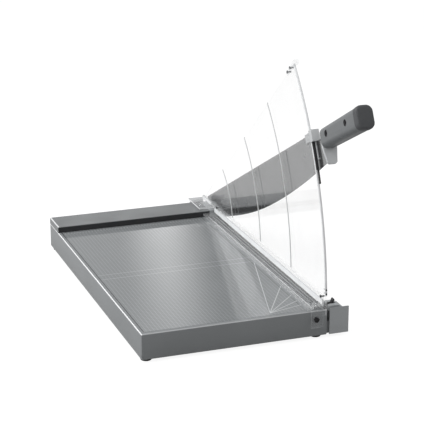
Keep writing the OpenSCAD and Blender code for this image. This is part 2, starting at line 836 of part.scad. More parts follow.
module rim_stop() {
  color("#8f9497") place() on_stop() difference() {
    union() {
      block([guard_x - stop_t, -stop_head_r, -stop_w / 2], [guard_x, -stop_root_r, stop_w / 2]);
      block([guard_x - stop_t, -stop_head_r, -stop_w / 2],
            [guard_x - stop_t + stop_head_w, -guard_r - pass_gap, stop_w / 2]);
    }
    for (r = stop_screw_rs)
      translate([guard_x - stop_t - cut, -r, 0]) rod_x(rail_screw_r + hole_gap, stop_t + 2 * cut);
  }
}

module rim_stop_screws() {
  color("#17181a") place() on_stop() for (r = stop_screw_rs)
    translate([guard_x - stop_t, -r, 0]) rotate([0, -90, 0])
      screw(rail_screw_r, stop_t + guard_t - seat_gap, rail_head_r, rail_screw_r);
}

// Clamping rail: a clear angle that presses on the paper and carries the guard plate
module clamp_rail() {
  color([0.8, 0.87, 0.9, 0.4]) place() difference() {
    union() {
      block([guard_x - flange_w, rail_y, flange_z], [guard_x, rail_back_y, flange_z + rail_t]);
      block([rail_x, rail_y, flange_z], [guard_x, rail_back_y, rail_top_z]);
      block([rail_x, rail_y, guard_low_z], [guard_x, guard_back_y, rail_top_z]);
    }
    for (y = rail_screw_ys)
      translate([rail_x - cut, y, rail_screw_z]) rod_x(rail_screw_r + hole_gap, rail_t + 2 * cut);
    for (x = guide_screw_xs)
      translate([x, guide_screw_y, flange_z - cut])
        cylinder(r = rail_screw_r + hole_gap, h = rail_t + 2 * cut);
  }
}

module rail_screws() {
  color("#17181a") place() for (y = rail_screw_ys)
    translate([rail_x, y, rail_screw_z]) rotate([0, -90, 0])
      screw(rail_screw_r, rail_t + guard_t - seat_gap, rail_head_r, rail_screw_r);
}

// Guide screws join the front guide to the flange, the rear guide is cemented to the rail
guide_lap = 18;
guide_round = 3;
guide_screw_y = guide_lap * 0.6;
guide_screw_xs = [guide_x + guide_w / 4, guide_x + guide_w * 3 / 4];
guide_low_z = 14;
rear_guide_low_z = 18;
rear_plate_w = 25.6;
rear_plate_y = fence_y - seat_gap;
rear_guide_y = base_d + seat_gap;

// Vertical slot that a guide slides along its shoulder screw with, from the given height up
module guide_slot(x, y, z) {
  slot_r = shoulder_r + hole_gap;
  for (dz = [0, clamp_travel]) translate([x, y, z + dz]) rod_y(slot_r, guide_t + 2 * cut);
  block([x - slot_r, y, z], [x + slot_r, y + guide_t + 2 * cut, z + clamp_travel]);
}

module front_guide() {
  color([0.8, 0.87, 0.9, 0.4]) place() difference() {
    union() {
      block([guide_x, -guide_t - seat_gap, guide_low_z], [rail_x, -seat_gap, flange_z + rail_t]);
      block([guide_x, -seat_gap - cut, flange_z], [rail_x, rail_y, flange_z + rail_t]);
      side_sheet(guide_x, guide_w) union() {
        translate([-guide_t - seat_gap + guide_round, flange_z + rail_t])
          square([guide_lap - guide_round, rail_t]);
        intersection() {
          translate([-guide_t - seat_gap + guide_round, flange_z + 2 * rail_t - guide_round])
            circle(guide_round);
          translate([-guide_t - seat_gap, flange_z]) square([guide_lap, 2 * rail_t]);
        }
        translate([-guide_t - seat_gap, flange_z]) square([guide_t, 2 * rail_t - guide_round]);
      }
    }
    guide_slot(shoulder_x, -guide_t - seat_gap - cut, front_shoulder_z);
    for (x = guide_screw_xs)
      translate([x, guide_screw_y, flange_z]) cylinder(r = rail_screw_r + hole_gap, h = 3 * rail_t);
  }
}

module rear_guide() {
  color([0.8, 0.87, 0.9, 0.4]) place() difference() {
    union() {
      block([rail_x - rear_plate_w, rear_plate_y, guard_low_z],
            [rail_x, rear_guide_y + guide_t, guard_low_z + rail_t]);
      block([rear_shoulder_x - guide_w / 2, rear_guide_y, rear_guide_low_z],
            [rail_x, rear_guide_y + guide_t, guard_low_z + rail_t / 2]);
      block([rail_x - rail_t, rear_plate_y + rail_lap, guard_low_z], [rail_x, guard_back_y, rail_top_z]);
    }
    guide_slot(rear_shoulder_x, rear_guide_y - cut, rear_shoulder_z);
  }
}

module guide_screws() {
  color("#17181a") place() for (x = guide_screw_xs)
    translate([x, guide_screw_y, flange_z + 2 * rail_t])
      screw(rail_screw_r, 2 * rail_t - seat_gap, rail_head_r, rail_screw_r);
}

// Blade: a long plate whose edge follows two tangent arcs, bevelled on the outer side. Its back
// falls in a straight line from the heel to the collar.
rear_arc_r = 1250;
front_arc_r = 1840;
edge_land = 0.6;
bevel_w = 6;
heel_rise = 6;
heel_run = guard_r * 0.877;
heel_chamfer = 3;
heel_base_l = 60;
tang_l = 104;
tang_low = -5;
tang_high = 14;
bush_r = 8;
stiffener_screw_places = [[guard_r * 0.353, -belly_depth * 0.47], [guard_r * 0.904, 0]];
grip_screw_places = [
  [grip_at + grip_l * 0.1775, grip_root_h * 0.26], [grip_at + grip_l * 0.74, grip_root_h * 0.2]];

// Catch pin: level with the latch when the arm is down
down_angle = 3.2;
catch_r = 2;
catch_z = 36.5;
catch_ahead = pivot_y - latch_mid_y;
catch_rise = catch_z - pivot_h;
catch_at = [
  catch_ahead * cos(down_angle) + catch_rise * sin(down_angle),
  catch_rise * cos(down_angle) - catch_ahead * sin(down_angle)];

// Half of the blade from u0 to u1 under the arc of radius r, with its bevel
module blade_half(u0, u1, r) {
  intersection() {
    block([blade_x, -u1, -belly_depth - cut], [blade_out_x, -u0, blade_top]);
    translate([blade_x, -belly_at, r - belly_depth]) rotate([0, 90, 0]) {
      cylinder(r = r, h = edge_land, $fn = fine);
      translate([0, 0, edge_land]) cylinder(r1 = r, r2 = r - bevel_w, h = blade_t - edge_land, $fn = fine);
    }
  }
}

module arm_hole(p, r) {
  translate([blade_x - cut, -p[0], p[1]]) rod_x(r, blade_t + 2 * cut);
}

module blade() {
  color("#a9adb0") on_arm() difference() {
    union() {
      blade_half(0, belly_at, rear_arc_r);
      blade_half(belly_at, blade_l, front_arc_r);
      arm_sheet(blade_x, blade_t) union() {
        circle(heel_r);
        polygon([
          [-heel_r, 0], [-heel_r, blade_top + heel_rise - heel_chamfer],
          [-heel_r + heel_chamfer, blade_top + heel_rise], [0, blade_top + heel_rise],
          [heel_run, blade_top], [heel_run, 0]]);
        translate([0, -heel_r]) square([heel_base_l, heel_r]);
        translate([blade_l - cut, tang_low]) square([tang_l + cut, tang_high - tang_low]);
      }
    }
    block([blade_x - cut, -blade_l, collar_low],
          [blade_out_x + cut, collar_front_t - collar_end, blade_top + cut]);
    arm_hole([0, 0], bush_r + run_gap / 2);
    for (p = stiffener_screw_places) arm_hole(p, counter_r + hole_gap);
    for (p = collar_screw_places) arm_hole(p, small_hole_r);
    for (p = grip_screw_places) arm_hole(p, counter_r + hole_gap);
    arm_hole(catch_at, catch_r + run_gap / 2);
  }
}

module pivot_bush() {
  color("#b08d4a") on_arm() translate([blade_x, 0, 0]) difference() {
    rod_x(bush_r, blade_t);
    translate([-cut, 0, 0]) rod_x(bolt_r + run_gap, blade_t + 2 * cut);
  }
}

// Stiffening bar on the outer side of the blade
stiffener_t = 4;
stiffener_u = 30;
stiffener_gap = 5;
stiffener_end = saddle_u - stiffener_gap;

module arm_stiffener() {
  color("#8f9497") on_arm() difference() {
    arm_sheet(blade_out_x, stiffener_t) polygon([
      [stiffener_u, -tang_high], [stiffener_u, tang_high], [stiffener_end, tang_high],
      [stiffener_end, -tang_high], [belly_at, -belly_depth * 2 / 3],
      [heel_base_l * 2, -belly_depth * 2 / 3]]);
    for (p = stiffener_screw_places)
      translate([blade_out_x - cut, -p[0], p[1]]) rod_x(counter_r + hole_gap, stiffener_t + 2 * cut);
  }
}

module stiffener_screws() {
  color("#5b5f62") on_arm() for (p = stiffener_screw_places)
    translate([blade_out_x + stiffener_t, -p[0], p[1]]) rotate([0, 90, 0])
      screw(counter_r, stiffener_t + blade_t, counter_head_r, counter_r);
}

// Riveted pin on the blade that the latch holds
module catch_pin() {
  color("#c3c7ca") on_arm() translate([blade_x, -catch_at[0], catch_at[1]])
    rod_x(catch_r, blade_t + catch_r);
}

// Collar: a block in front of the rim, with fins on both sides of it and walls that grip the blade
collar_low = 10;
collar_fin_u = guard_r - rim_w / 3;
collar_step_l = 3;
collar_front_t = 2.4;
fin_low = -32;
left_fin_t = 1.3;
fin_x = guard_x - left_fin_t - pass_gap + cut / 10;
mid_fin_x = blade_x - fin_t;
collar_wall_t = 1.8;
collar_wall_l = 4;
collar_wall_low = -12;
collar_out_x = blade_out_x + collar_wall_t;
saddle_low = 14;
saddle_t = 2.5;
collar_top = blade_top + saddle_t;
collar_screw_vs = [4, -6];
collar_screw_places = [for (v = collar_screw_vs) [(collar_u + collar_end) / 2, v]];

module rim_collar() {
  color("#c2c6c8") on_arm() difference() {
    union() {
      block([fin_x, -collar_end, collar_low], [collar_out_x, -collar_u, collar_top]);
      block([fin_x, -collar_end, collar_low], [fin_x + left_fin_t, -collar_fin_u, collar_top]);
      block([mid_fin_x, collar_step_l - collar_end, fin_low / 2], [blade_x, -collar_fin_u, collar_top]);
      block([blade_out_x, -collar_end, collar_wall_low],
            [collar_out_x, collar_wall_l - collar_fin_u, collar_top]);
      block([mid_fin_x, -collar_end, blade_top], [collar_out_x, -collar_fin_u, collar_top]);
      block([mid_fin_x, -collar_fin_u, blade_top], [blade_out_x + fin_t, -saddle_u, blade_top + saddle_t]);
      block([mid_fin_x, -collar_fin_u, saddle_low], [blade_x, -saddle_u, blade_top + saddle_t]);
      block([blade_out_x, -collar_fin_u, saddle_low],
            [blade_out_x + fin_t, -saddle_u, blade_top + saddle_t]);
    }
    block([blade_x, -collar_end - cut, fin_low], [blade_out_x, -saddle_u + cut, collar_low]);
    block([blade_x, collar_front_t - collar_end, collar_low - cut],
          [blade_out_x, -saddle_u + cut, blade_top]);
    for (p = collar_screw_places)
      translate([blade_out_x - cut, -p[0], p[1]]) rod_x(small_hole_r, collar_wall_t + 2 * cut);
  }
}

// Black wiper under the collar's block that slides on the rim, and a lip beside the blade
wiper_t = 2.5;
wiper_w = 2;
wiper_low = -50;
wiper_play = 0.2;
wiper_x = fin_x + left_fin_t + wiper_play;
wiper_out_x = mid_fin_x - wiper_play;
wiper_step_v = -30;
lip_t = 0.5;
lip_low = -14;
lip_proud = 1;

module wiper_arc(low, high) {
  intersection() {
    difference() {
      circle(collar_u + wiper_t, $fn = fine);
      circle(collar_u, $fn = fine);
    }
    translate([0, low]) square([collar_end, high - low]);
  }
}

module rim_wiper() {
  color("#1b1c1e") on_arm() {
    union() {
      arm_sheet(wiper_x, wiper_out_x - wiper_x) wiper_arc(wiper_step_v, collar_low);
      arm_sheet(wiper_out_x - wiper_w, wiper_w) wiper_arc(wiper_low, wiper_step_v + cut);
    }
    block([blade_x - lip_t, -collar_end - lip_proud, lip_low],
          [blade_x, collar_step_l - collar_end, collar_low]);
  }
}

module collar_screws() {
  color("#5b5f62") on_arm() for (p = collar_screw_places)
    translate([collar_out_x, -p[0], p[1]]) rotate([0, 90, 0])
      screw(small_r, collar_wall_t + blade_t - seat_gap, head_r, head_h);
}

// Knuckle guard: a plate square to the arm that hangs below the grip
knuckle_w = 21.6;
knuckle_low_w = 15;
knuckle_corner = 2.5;
knuckle_low = -31.5;
knuckle_taper = -8;
knuckle_top = 19;
knuckle_round = 4;

module knuckle_guard() {
  color("#c2c6c8") on_arm() difference() {
    arm_slab(blade_l, knuckle_t) translate([blade_mid_x, 0]) polygon([
      [-knuckle_low_w / 2 + knuckle_corner, knuckle_low], [knuckle_low_w / 2 - knuckle_corner, knuckle_low],
      [knuckle_low_w / 2, knuckle_low + knuckle_corner], [knuckle_w / 2, knuckle_taper],
      [knuckle_w / 2, knuckle_top - knuckle_round], [knuckle_w / 2 - knuckle_round, knuckle_top],
      [-knuckle_w / 2 + knuckle_round, knuckle_top], [-knuckle_w / 2, knuckle_top - knuckle_round],
      [-knuckle_w / 2, knuckle_taper], [-knuckle_low_w / 2, knuckle_low + knuckle_corner]]);
    block([blade_x, -grip_at - cut, tang_low], [blade_out_x, -blade_l + cut, tang_high]);
  }
}

// Section of the grip up to distance u: a rounded box between the heights low and high
module grip_section(u, low, high, w, round_r) {
  for (side = [-1, 1], v = [low + round_r, high - round_r])
    translate([blade_mid_x + side * (w / 2 - round_r), -u, v]) rotate([-90, 0, 0])
      cylinder(r = round_r, h = cut, $fn = soft);
}

module grip_body() {
  hull() {
    grip_section(grip_at + cut, grip_top - grip_root_h, grip_top, grip_w, grip_round);
    grip_section(grip_at + grip_l, grip_end_top - grip_end_h, grip_end_top, grip_w, grip_round);
  }
}

grip_head_r = 4.6;
grip_sink = 3;
grip_left_x = blade_mid_x - grip_w / 2;
grip_right_x = blade_mid_x + grip_w / 2;
nut_r = 4.2;
nut_h = 3;

// One grip half, cut out of the whole body between x0 and x1
module grip_half(x0, x1) {
  difference() {
    intersection() {
      grip_body();
      block([x0, -grip_at - grip_l, -blade_l], [x1, -grip_at, blade_l]);
    }
    block([blade_x, -grip_at - tang_l - hole_gap, tang_low], [blade_out_x, -grip_at + cut, tang_high]);
    for (p = grip_screw_places) translate([grip_left_x - cut, -p[0], p[1]]) {
      rod_x(counter_r + hole_gap, grip_w + 2 * cut);
      rod_x(grip_head_r + hole_gap, grip_sink + cut);
    }
  }
}

module grip_left() {
  color("#6b6f73") on_arm() grip_half(grip_left_x, blade_mid_x);
}

module grip_right() {
  color("#6b6f73") on_arm() difference() {
    grip_half(blade_mid_x, grip_right_x);
    for (p = grip_screw_places) translate([grip_right_x - nut_h - cut, -p[0], p[1]]) rotate([0, 90, 0])
      cylinder(r = nut_r + hole_gap, h = nut_h + 2 * cut, $fn = 6);
  }
}

module grip_screws() {
  color("#1d1e20") on_arm() for (p = grip_screw_places)
    translate([grip_left_x + grip_sink, -p[0], p[1]]) rotate([0, -90, 0])
      screw(counter_r, grip_w - grip_sink - cut * 2, grip_head_r, grip_sink - cut);
}

module grip_nuts() {
  color("#7d8184") on_arm() for (p = grip_screw_places)
    translate([grip_right_x - nut_h - cut, -p[0], p[1]]) rotate([0, 90, 0]) difference() {
      cylinder(r = nut_r, h = nut_h, $fn = 6);
      translate([0, 0, -cut]) cylinder(r = counter_r + hole_gap, h = nut_h + 2 * cut);
    }
}

// Soft cap on the end of the grip, a little proud of the halves
module grip_cap() {
  color("#3b3e41") on_arm() hull() for (step = cap_steps)
    grip_section(grip_at + grip_l + step[0], cap_bottom + step[1], grip_end_top + cap_proud - step[1],
                 grip_w + 2 * (cap_proud - step[1]), grip_round - step[1]);
}

base_housing();
bottom_plate();
bottom_screws();
rubber_feet();
foot_screws();
table_plate();
scale_strip();
fence_body();
fence_cover();
fence_screws();
counter_blade();
counter_blade_screws();
pivot_block();
pivot_block_screws();
pivot_bolt();
thrust_washer();
cup_springs();
outer_washer();
front_guide_screw();
rear_guide_screw();
front_lift_spring();
rear_lift_spring();
end_carrier();
carrier_screws();
end_plate();
end_plate_screws();
latch_housing();
latch_screws();
latch_pin();
latch_lever();
guard_plate();
rim_rail();
rim_stop();
rim_stop_screws();
rim_foot_screws();
clamp_rail();
rail_screws();
front_guide();
rear_guide();
guide_screws();
blade();
pivot_bush();
arm_stiffener();
stiffener_screws();
rim_collar();
rim_wiper();
collar_screws();
knuckle_guard();
grip_left();
grip_right();
grip_screws();
grip_nuts();
grip_cap();
catch_pin();
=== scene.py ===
import math

import bpy
from mathutils import Matrix, Vector


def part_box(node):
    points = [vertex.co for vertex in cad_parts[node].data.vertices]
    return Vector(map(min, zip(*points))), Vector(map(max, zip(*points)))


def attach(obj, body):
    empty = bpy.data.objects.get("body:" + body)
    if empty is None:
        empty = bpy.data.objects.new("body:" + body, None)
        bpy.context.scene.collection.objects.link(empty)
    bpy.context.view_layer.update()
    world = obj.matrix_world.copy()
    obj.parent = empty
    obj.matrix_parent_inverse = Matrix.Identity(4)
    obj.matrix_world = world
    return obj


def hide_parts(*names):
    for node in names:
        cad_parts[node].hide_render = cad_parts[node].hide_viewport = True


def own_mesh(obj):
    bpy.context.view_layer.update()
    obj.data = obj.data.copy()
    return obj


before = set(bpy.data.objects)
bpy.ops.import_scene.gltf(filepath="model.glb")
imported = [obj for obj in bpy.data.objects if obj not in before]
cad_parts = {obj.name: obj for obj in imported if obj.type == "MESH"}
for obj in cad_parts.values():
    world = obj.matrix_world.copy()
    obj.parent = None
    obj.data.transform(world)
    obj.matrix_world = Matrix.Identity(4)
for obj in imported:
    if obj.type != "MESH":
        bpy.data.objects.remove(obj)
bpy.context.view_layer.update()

# Camera. The cutter was photographed with a long lens from the front left, a little
# from above, so the base runs away to the back and the raised arm stands over the right side.
base_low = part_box("base_housing")[0]


def at(x, y, z):
    """A point of the base, in millimetres from its front left bottom corner."""
    return base_low + Vector((x, y, z)) / 1000


camera_yaw = math.radians(19.69)
camera_pitch = math.radians(18.07)
camera_aim = Vector((
    math.sin(camera_yaw) * math.cos(camera_pitch),
    math.cos(camera_yaw) * math.cos(camera_pitch),
    -math.sin(camera_pitch)))
camera_data = bpy.data.cameras.new("camera")
camera_data.lens = 133.0
camera_data.sensor_width = 36.0
camera = bpy.data.objects.new("camera", camera_data)
camera.location = at(-577.3, -1900.0, 862.0)
camera.rotation_euler = camera_aim.to_track_quat("-Z", "Y").to_euler()
bpy.context.scene.collection.objects.link(camera)
bpy.context.scene.camera = camera
bpy.context.scene.view_settings.view_transform = "Standard"

# Studio. A pale floor and white surroundings, with one wide soft lamp from the upper left
# and a weaker one from the right. Glossy surfaces mirror a grey room instead, with a light
# panel at the left and one far behind the cutter, which draws the pale band across the table.


def start_finish(name, colour, rough, metal=0.0):
    """A new material with its plain values on the shader's own sockets."""
    made = bpy.data.materials.new(name)
    made.use_nodes = True
    shader = made.node_tree.nodes["Principled BSDF"]
    shader.inputs["Base Color"].default_value = (*colour, 1.0)
    shader.inputs["Roughness"].default_value = rough
    shader.inputs["Metallic"].default_value = metal
    return made, made.node_tree, shader


def add_node(tree, kind, sockets=(), **settings):
    """A node of that kind with its settings, and its inputs wired or set."""
    node = tree.nodes.new("ShaderNode" + kind)
    for key, value in settings.items():
        setattr(node, key, value)
    for key, value in dict(sockets).items():
        if isinstance(value, bpy.types.NodeSocket):
            tree.links.new(value, node.inputs[key])
        else:
            node.inputs[key].default_value = value
    return node


def work_out(tree, operation, *values):
    """One step of arithmetic on sockets and numbers."""
    return add_node(tree, "Math", dict(enumerate(values)), operation=operation).outputs[0]


def apart(tree, value, place):
    """How far a value lies from a place, on either side of it."""
    return work_out(tree, "ABSOLUTE", work_out(tree, "SUBTRACT", value, place))


def ramp(tree, value, start, end, first, last, **settings):
    """A number that goes from first to last while the value goes from start to end."""
    return add_node(
        tree, "MapRange", {0: value, 1: start, 2: end, 3: first, 4: last}, **settings).outputs[0]


def mixed(tree, share, one, two):
    """A colour between two others."""
    return add_node(tree, "Mix", {0: share, 6: one, 7: two}, data_type="RGBA").outputs[2]


def ray_is(tree, *kinds):
    """1 for the rays of these kinds, such as Is Camera Ray, and 0 for the rest."""
    path = add_node(tree, "LightPath")
    total = path.outputs[kinds[0]]
    for kind in kinds[1:]:
        total = work_out(tree, "MAXIMUM", total, path.outputs[kind])
    return total


white = (1.0, 1.0, 1.0, 1.0)
seen_kinds = ("Is Camera Ray", "Is Glossy Ray", "Is Transmission Ray")
lit_strength, seen_strength = 0.5, 1.04

world = bpy.data.worlds.new("studio")
bpy.context.scene.world = world
world.use_nodes = True
room = world.node_tree
room_light = room.nodes["Background"]
room_light.inputs["Color"].default_value = white
room_light.inputs["Strength"].default_value = lit_strength
room_white = add_node(room, "Background", {"Color": white, "Strength": seen_strength})
room_x, room_y, room_z = add_node(
    room, "SeparateXYZ", {0: add_node(room, "TexCoord").outputs["Generated"]}).outputs

# The mirrored walls are pale as far as the middle of the back panel, and dark to the right
# of it. Places in the room are the x, y and z of a direction that is one unit long.
wall_pale, wall_dark = 0.5, 0.10
wall_turn = (0.290, 0.320)
left_panel_x, left_panel_low, left_panel_glow = -0.33, 0.28, 2.1
left_panel_edge = (0.06, 0.09)
back_panel_x, back_panel_half = 0.2905, 0.030
back_panel_glow, back_panel_dim = 1.45, 0.3
back_panel_fade = (0.32, 0.40)

walls = ramp(room, room_x, *wall_turn, wall_pale, wall_dark)
left_off = apart(room, room_x, left_panel_x)
left_panel = ramp(room, left_off, *left_panel_edge, left_panel_glow, 0.0)
left_up = work_out(room, "GREATER_THAN", room_z, left_panel_low)
walls = work_out(room, "MULTIPLY_ADD", left_panel, left_up, walls)
back_off = apart(room, room_x, back_panel_x)
back_across = ramp(room, back_off, 0.0, back_panel_half, 1.0, 0.0, interpolation_type="SMOOTHSTEP")
back_up = ramp(room, room_z, *back_panel_fade, back_panel_glow, back_panel_dim)
back_panel = work_out(room, "MULTIPLY", back_across, back_up)
ahead = work_out(room, "GREATER_THAN", room_y, 0.0)
mirrored_glow = work_out(room, "MULTIPLY_ADD", back_panel, ahead, walls)
room_mirrored = add_node(room, "Background", {"Color": white, "Strength": mirrored_glow})
room_seen = add_node(room, "MixShader", {
    0: ray_is(room, "Is Glossy Ray"), 1: room_white.outputs[0], 2: room_mirrored.outputs[0]})
room_mix = add_node(room, "MixShader", {
    0: ray_is(room, *seen_kinds), 1: room_light.outputs[0], 2: room_seen.outputs[0]})
room.links.new(room_mix.outputs[0], room.nodes["World Output"].inputs["Surface"])

# The floor glows where it is seen, less in a mirroring surface than for the camera, and
# takes the cutter's shadow. To every other ray it is a dull grey.
floor_glow_seen, floor_glow_mirrored = 0.90, 0.52

bpy.ops.mesh.primitive_plane_add(size=16.0, location=(0.0, 2.0, 0.0))
floor = bpy.context.object
floor.name = "floor"
floor_finish = bpy.data.materials.new("floor")
floor_finish.use_nodes = True
floor_tree = floor_finish.node_tree
floor_tree.nodes.clear()
floor_dull = add_node(floor_tree, "BsdfDiffuse", {"Color": (0.3, 0.3, 0.3, 1.0)})
floor_shadow = add_node(floor_tree, "BsdfDiffuse", {"Color": (0.2, 0.2, 0.2, 1.0)})
floor_strength = add_node(floor_tree, "Mix", {
    0: ray_is(floor_tree, "Is Glossy Ray"), 2: floor_glow_seen, 3: floor_glow_mirrored}).outputs[0]
floor_glow = add_node(floor_tree, "Emission", {"Color": white, "Strength": floor_strength})
floor_seen = add_node(floor_tree, "AddShader", {0: floor_shadow.outputs[0], 1: floor_glow.outputs[0]})
floor_mix = add_node(floor_tree, "MixShader", {
    0: ray_is(floor_tree, *seen_kinds), 1: floor_dull.outputs[0], 2: floor_seen.outputs[0]})
add_node(floor_tree, "OutputMaterial", {"Surface": floor_mix.outputs[0]})
floor.data.materials.append(floor_finish)


cutter_middle = Vector((0.0, 0.0, 0.1))


def soft_lamp(name, direction, distance, size, power):
    """A soft lamp that looks at the middle of the cutter from that direction."""
    lamp_data = bpy.data.lights.new(name, "AREA")
    lamp_data.shape = "SQUARE"
    lamp_data.size = size
    lamp_data.energy = power
    lamp = bpy.data.objects.new(name, lamp_data)
    towards = Vector(direction).normalized()
    lamp.location = towards * distance + cutter_middle
    lamp.rotation_euler = towards.to_track_quat("Z", "Y").to_euler()
    bpy.context.scene.collection.objects.link(lamp)


soft_lamp("lamp_left", (-0.72, 0.12, 0.66), distance=2.5, size=1.6, power=49.0)
soft_lamp("lamp_right", (0.75, -0.2, 0.6), distance=2.8, size=1.4, power=12.0)

# Base housing. Pressed sheet metal in a fine grey powder coat, with a sunk deck for the
# table, a pocket for the fixed blade and a seat for the pivot block. Its edges are rounded,
# and the upper left and outer front bevels carry a painted highlight in a paler colour.
sharp_angle = 40.0


def pick(piece):
    """Makes the piece the only one that is selected, and the active one."""
    bpy.ops.object.select_all(action="DESELECT")
    piece.select_set(True)
    bpy.context.view_layer.objects.active = piece


def apply_transform():
    """Writes the selected piece's place, turn and scale into its mesh."""
    bpy.ops.object.transform_apply(location=True, rotation=True, scale=True)


def block(name, low, high):
    """A box between two opposite corners of the scene."""
    bpy.ops.object.select_all(action="DESELECT")
    low, high = Vector(low), Vector(high)
    bpy.ops.mesh.primitive_cube_add(size=1.0, location=(low + high) / 2)
    made = bpy.context.object
    made.name = name
    made.scale = high - low
    apply_transform()
    return made


def apply_modifier(piece, kind, **settings):
    """Adds a modifier of that kind with these settings and applies it."""
    bpy.context.view_layer.objects.active = piece
    modifier = piece.modifiers.new(kind.lower(), kind)
    for key, value in settings.items():
        setattr(modifier, key, value)
    bpy.ops.object.modifier_apply(modifier=modifier.name)


def round_edges(piece, width, segments, above=sharp_angle):
    """Rounds the edges that are sharper than the given angle by that width in millimetres."""
    apply_modifier(
        piece, "BEVEL", width=width / 1000, segments=segments, limit_method="ANGLE",
        angle_limit=math.radians(above))


def cut_out(piece, tool):
    """Mills the tool's shape out of the piece."""
    apply_modifier(piece, "BOOLEAN", operation="DIFFERENCE", solver="EXACT", object=tool)
    bpy.data.objects.remove(tool, do_unlink=True)


def join_on(piece, extra):
    """Makes one solid of the piece and an extra one."""
    apply_modifier(piece, "BOOLEAN", operation="UNION", solver="EXACT", object=extra)
    bpy.data.objects.remove(extra, do_unlink=True)


def noise(tree, place, scale, detail):
    """Soft noise between 0 and 1, with that many lumps to a unit of the place."""
    return add_node(tree, "TexNoise", {"Vector": place, "Scale": scale, "Detail": detail}).outputs[0]


def toned(colour, factor):
    """A colour made paler or deeper by that factor, with its alpha."""
    return (*[min(1.0, part * factor) for part in colour], 1.0)


def grained(name, colour, rough, metal=0.0, grain=0.5, spread=0.07, depth=0.02, stretch=(1, 1, 1)):
    """A finish whose tone wanders a little, with a fine grain of that size in millimetres.
    Spread is the share by which the tone wanders, and depth the grain's relief."""
    made, tree, shader = start_finish(name, colour, rough, metal)
    place = add_node(tree, "TexCoord").outputs["Object"]
    laid = add_node(tree, "Mapping", {"Vector": place, "Scale": stretch}).outputs[0]
    drift = noise(tree, place, scale=16.0, detail=3.0)
    fine = noise(tree, laid, scale=1000.0 / grain, detail=2.0)
    both = work_out(tree, "ADD", drift, fine)
    share = ramp(tree, both, start=0.7, end=1.3, first=0.0, last=1.0)
    tone = mixed(tree, share, toned(colour, 1.0 - spread), toned(colour, 1.0 + spread))
    tree.links.new(tone, shader.inputs["Base Color"])
    worn = ramp(tree, fine, start=0.3, end=0.7, first=rough * 0.85, last=rough * 1.15)
    tree.links.new(worn, shader.inputs["Roughness"])
    bumped = add_node(tree, "Bump", {"Height": fine, "Strength": 0.5, "Distance": depth / 1000})
    tree.links.new(bumped.outputs[0], shader.inputs["Normal"])
    return made


def finish_piece(piece, finish, body, slot, *replaced, smooth_below=35.0):
    """Shades a piece, gives it its finish and its body, and hides the nodes it stands for."""
    pick(piece)
    bpy.ops.object.shade_smooth_by_angle(angle=math.radians(smooth_below))
    piece.data.materials.clear()
    piece.data.materials.append(finish)
    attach(piece, body)
    if replaced:
        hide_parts(*replaced)


base_w, base_d, base_h = 277.0, 510.0, 38.4
wall = 2.5
# Cutting blocks reach a little out of the housing, to the right and above.
clear_right, clear_top = base_w + 1.0, 40.0
deck_left, deck_front, deck_back, deck_z = 5.0, 7.0, 460.0, 36.6
inner_right = 270.5
pocket_left, pocket_back, pocket_z = 273.0, 458.0, 8.1
seat_left, seat_front, seat_z = 262.3, 457.1, 10.0

housing = block("housing", at(0, 0, 0), at(base_w, base_d, base_h))
round_edges(housing, width=1.2, segments=3)
cut_out(housing, block("cavity", at(wall, wall, -1), at(inner_right, base_d - wall, deck_z - wall)))
cut_out(housing, block(
    "deck", at(deck_left, deck_front, deck_z), at(clear_right, deck_back, clear_top)))
cut_out(housing, block(
    "blade_pocket", at(pocket_left, wall, pocket_z), at(clear_right, pocket_back, clear_top)))
cut_out(housing, block(
    "block_seat", at(seat_left, seat_front, seat_z), at(clear_right, base_d - wall, clear_top)))

powder_grey = grained("powder_grey", (0.232, 0.243, 0.250), 0.42, grain=0.6, spread=0.05, depth=0.03)
edge_painted_highlight = grained("edge_painted_highlight", (0.93, 0.94, 0.95), 0.3, grain=0.4, spread=0.03)
front_painted_highlight = grained("front_painted_highlight", (0.48, 0.49, 0.50), 0.35, grain=0.4, spread=0.03)
finish_piece(housing, powder_grey, "root", "housing_grey", "base_housing")
housing.data.materials.append(edge_painted_highlight)
housing.data.materials.append(front_painted_highlight)

# A rounded edge is told by its lean, and the outer front one by its place in metres. The
# upper left bevels are painted near white and the outer front one pale grey, as painted highlights.
edge_lean = 0.25
front_band = 0.0015
for face in housing.data.polygons:
    normal = face.normal
    at_front = face.center.y < base_low.y + front_band
    if normal.z > edge_lean and normal.x < -edge_lean:
        face.material_index = 1
    elif normal.z > edge_lean and normal.y < -edge_lean and at_front:
        face.material_index = 2

# Underside. A dark sheet closes the housing, held by four screws, and four rubber feet
# with sunk screws stand under its corners.
weld_reach = 0.000005


def dress(finish, rounding, *nodes):
    """Gives CAD nodes their finish and breaks their sharp edges by that many millimetres."""
    for node in nodes:
        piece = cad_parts[node]
        for place in piece.material_slots:
            place.material = finish
        if rounding:
            weld = piece.modifiers.new("weld", "WELD")
            weld.merge_threshold = weld_reach
            bevel = piece.modifiers.new("bevel", "BEVEL")
            bevel.width = rounding / 1000
            bevel.segments = 2
            bevel.limit_method = "ANGLE"
            bevel.angle_limit = math.radians(sharp_angle)
            bevel.harden_normals = True


black_oxide = grained("black_oxide", (0.018, 0.018, 0.020), 0.38, metal=0.6, grain=0.3, spread=0.2)
dark_sheet = grained("dark_sheet", (0.085, 0.088, 0.092), 0.5, grain=0.7, spread=0.08)
dress(dark_sheet, 0.3, "bottom_plate")
foot_rubber = grained("foot_rubber", (0.015, 0.015, 0.016), 0.85, grain=0.8, spread=0.2, depth=0.05)
dress(foot_rubber, 0.3, "rubber_feet")
dress(black_oxide, 0.2, "bottom_screws", "foot_screws", "fence_screws", "pivot_block_screws")

# Table. A plastic laminate plate let into the deck, glossy, with a fine printed grid, ticks
# along the fence, two lines across it, a fan of cutting angles at the front and a scale
# strip by the cut. The prints are worked out in millimetres from the base's corner.


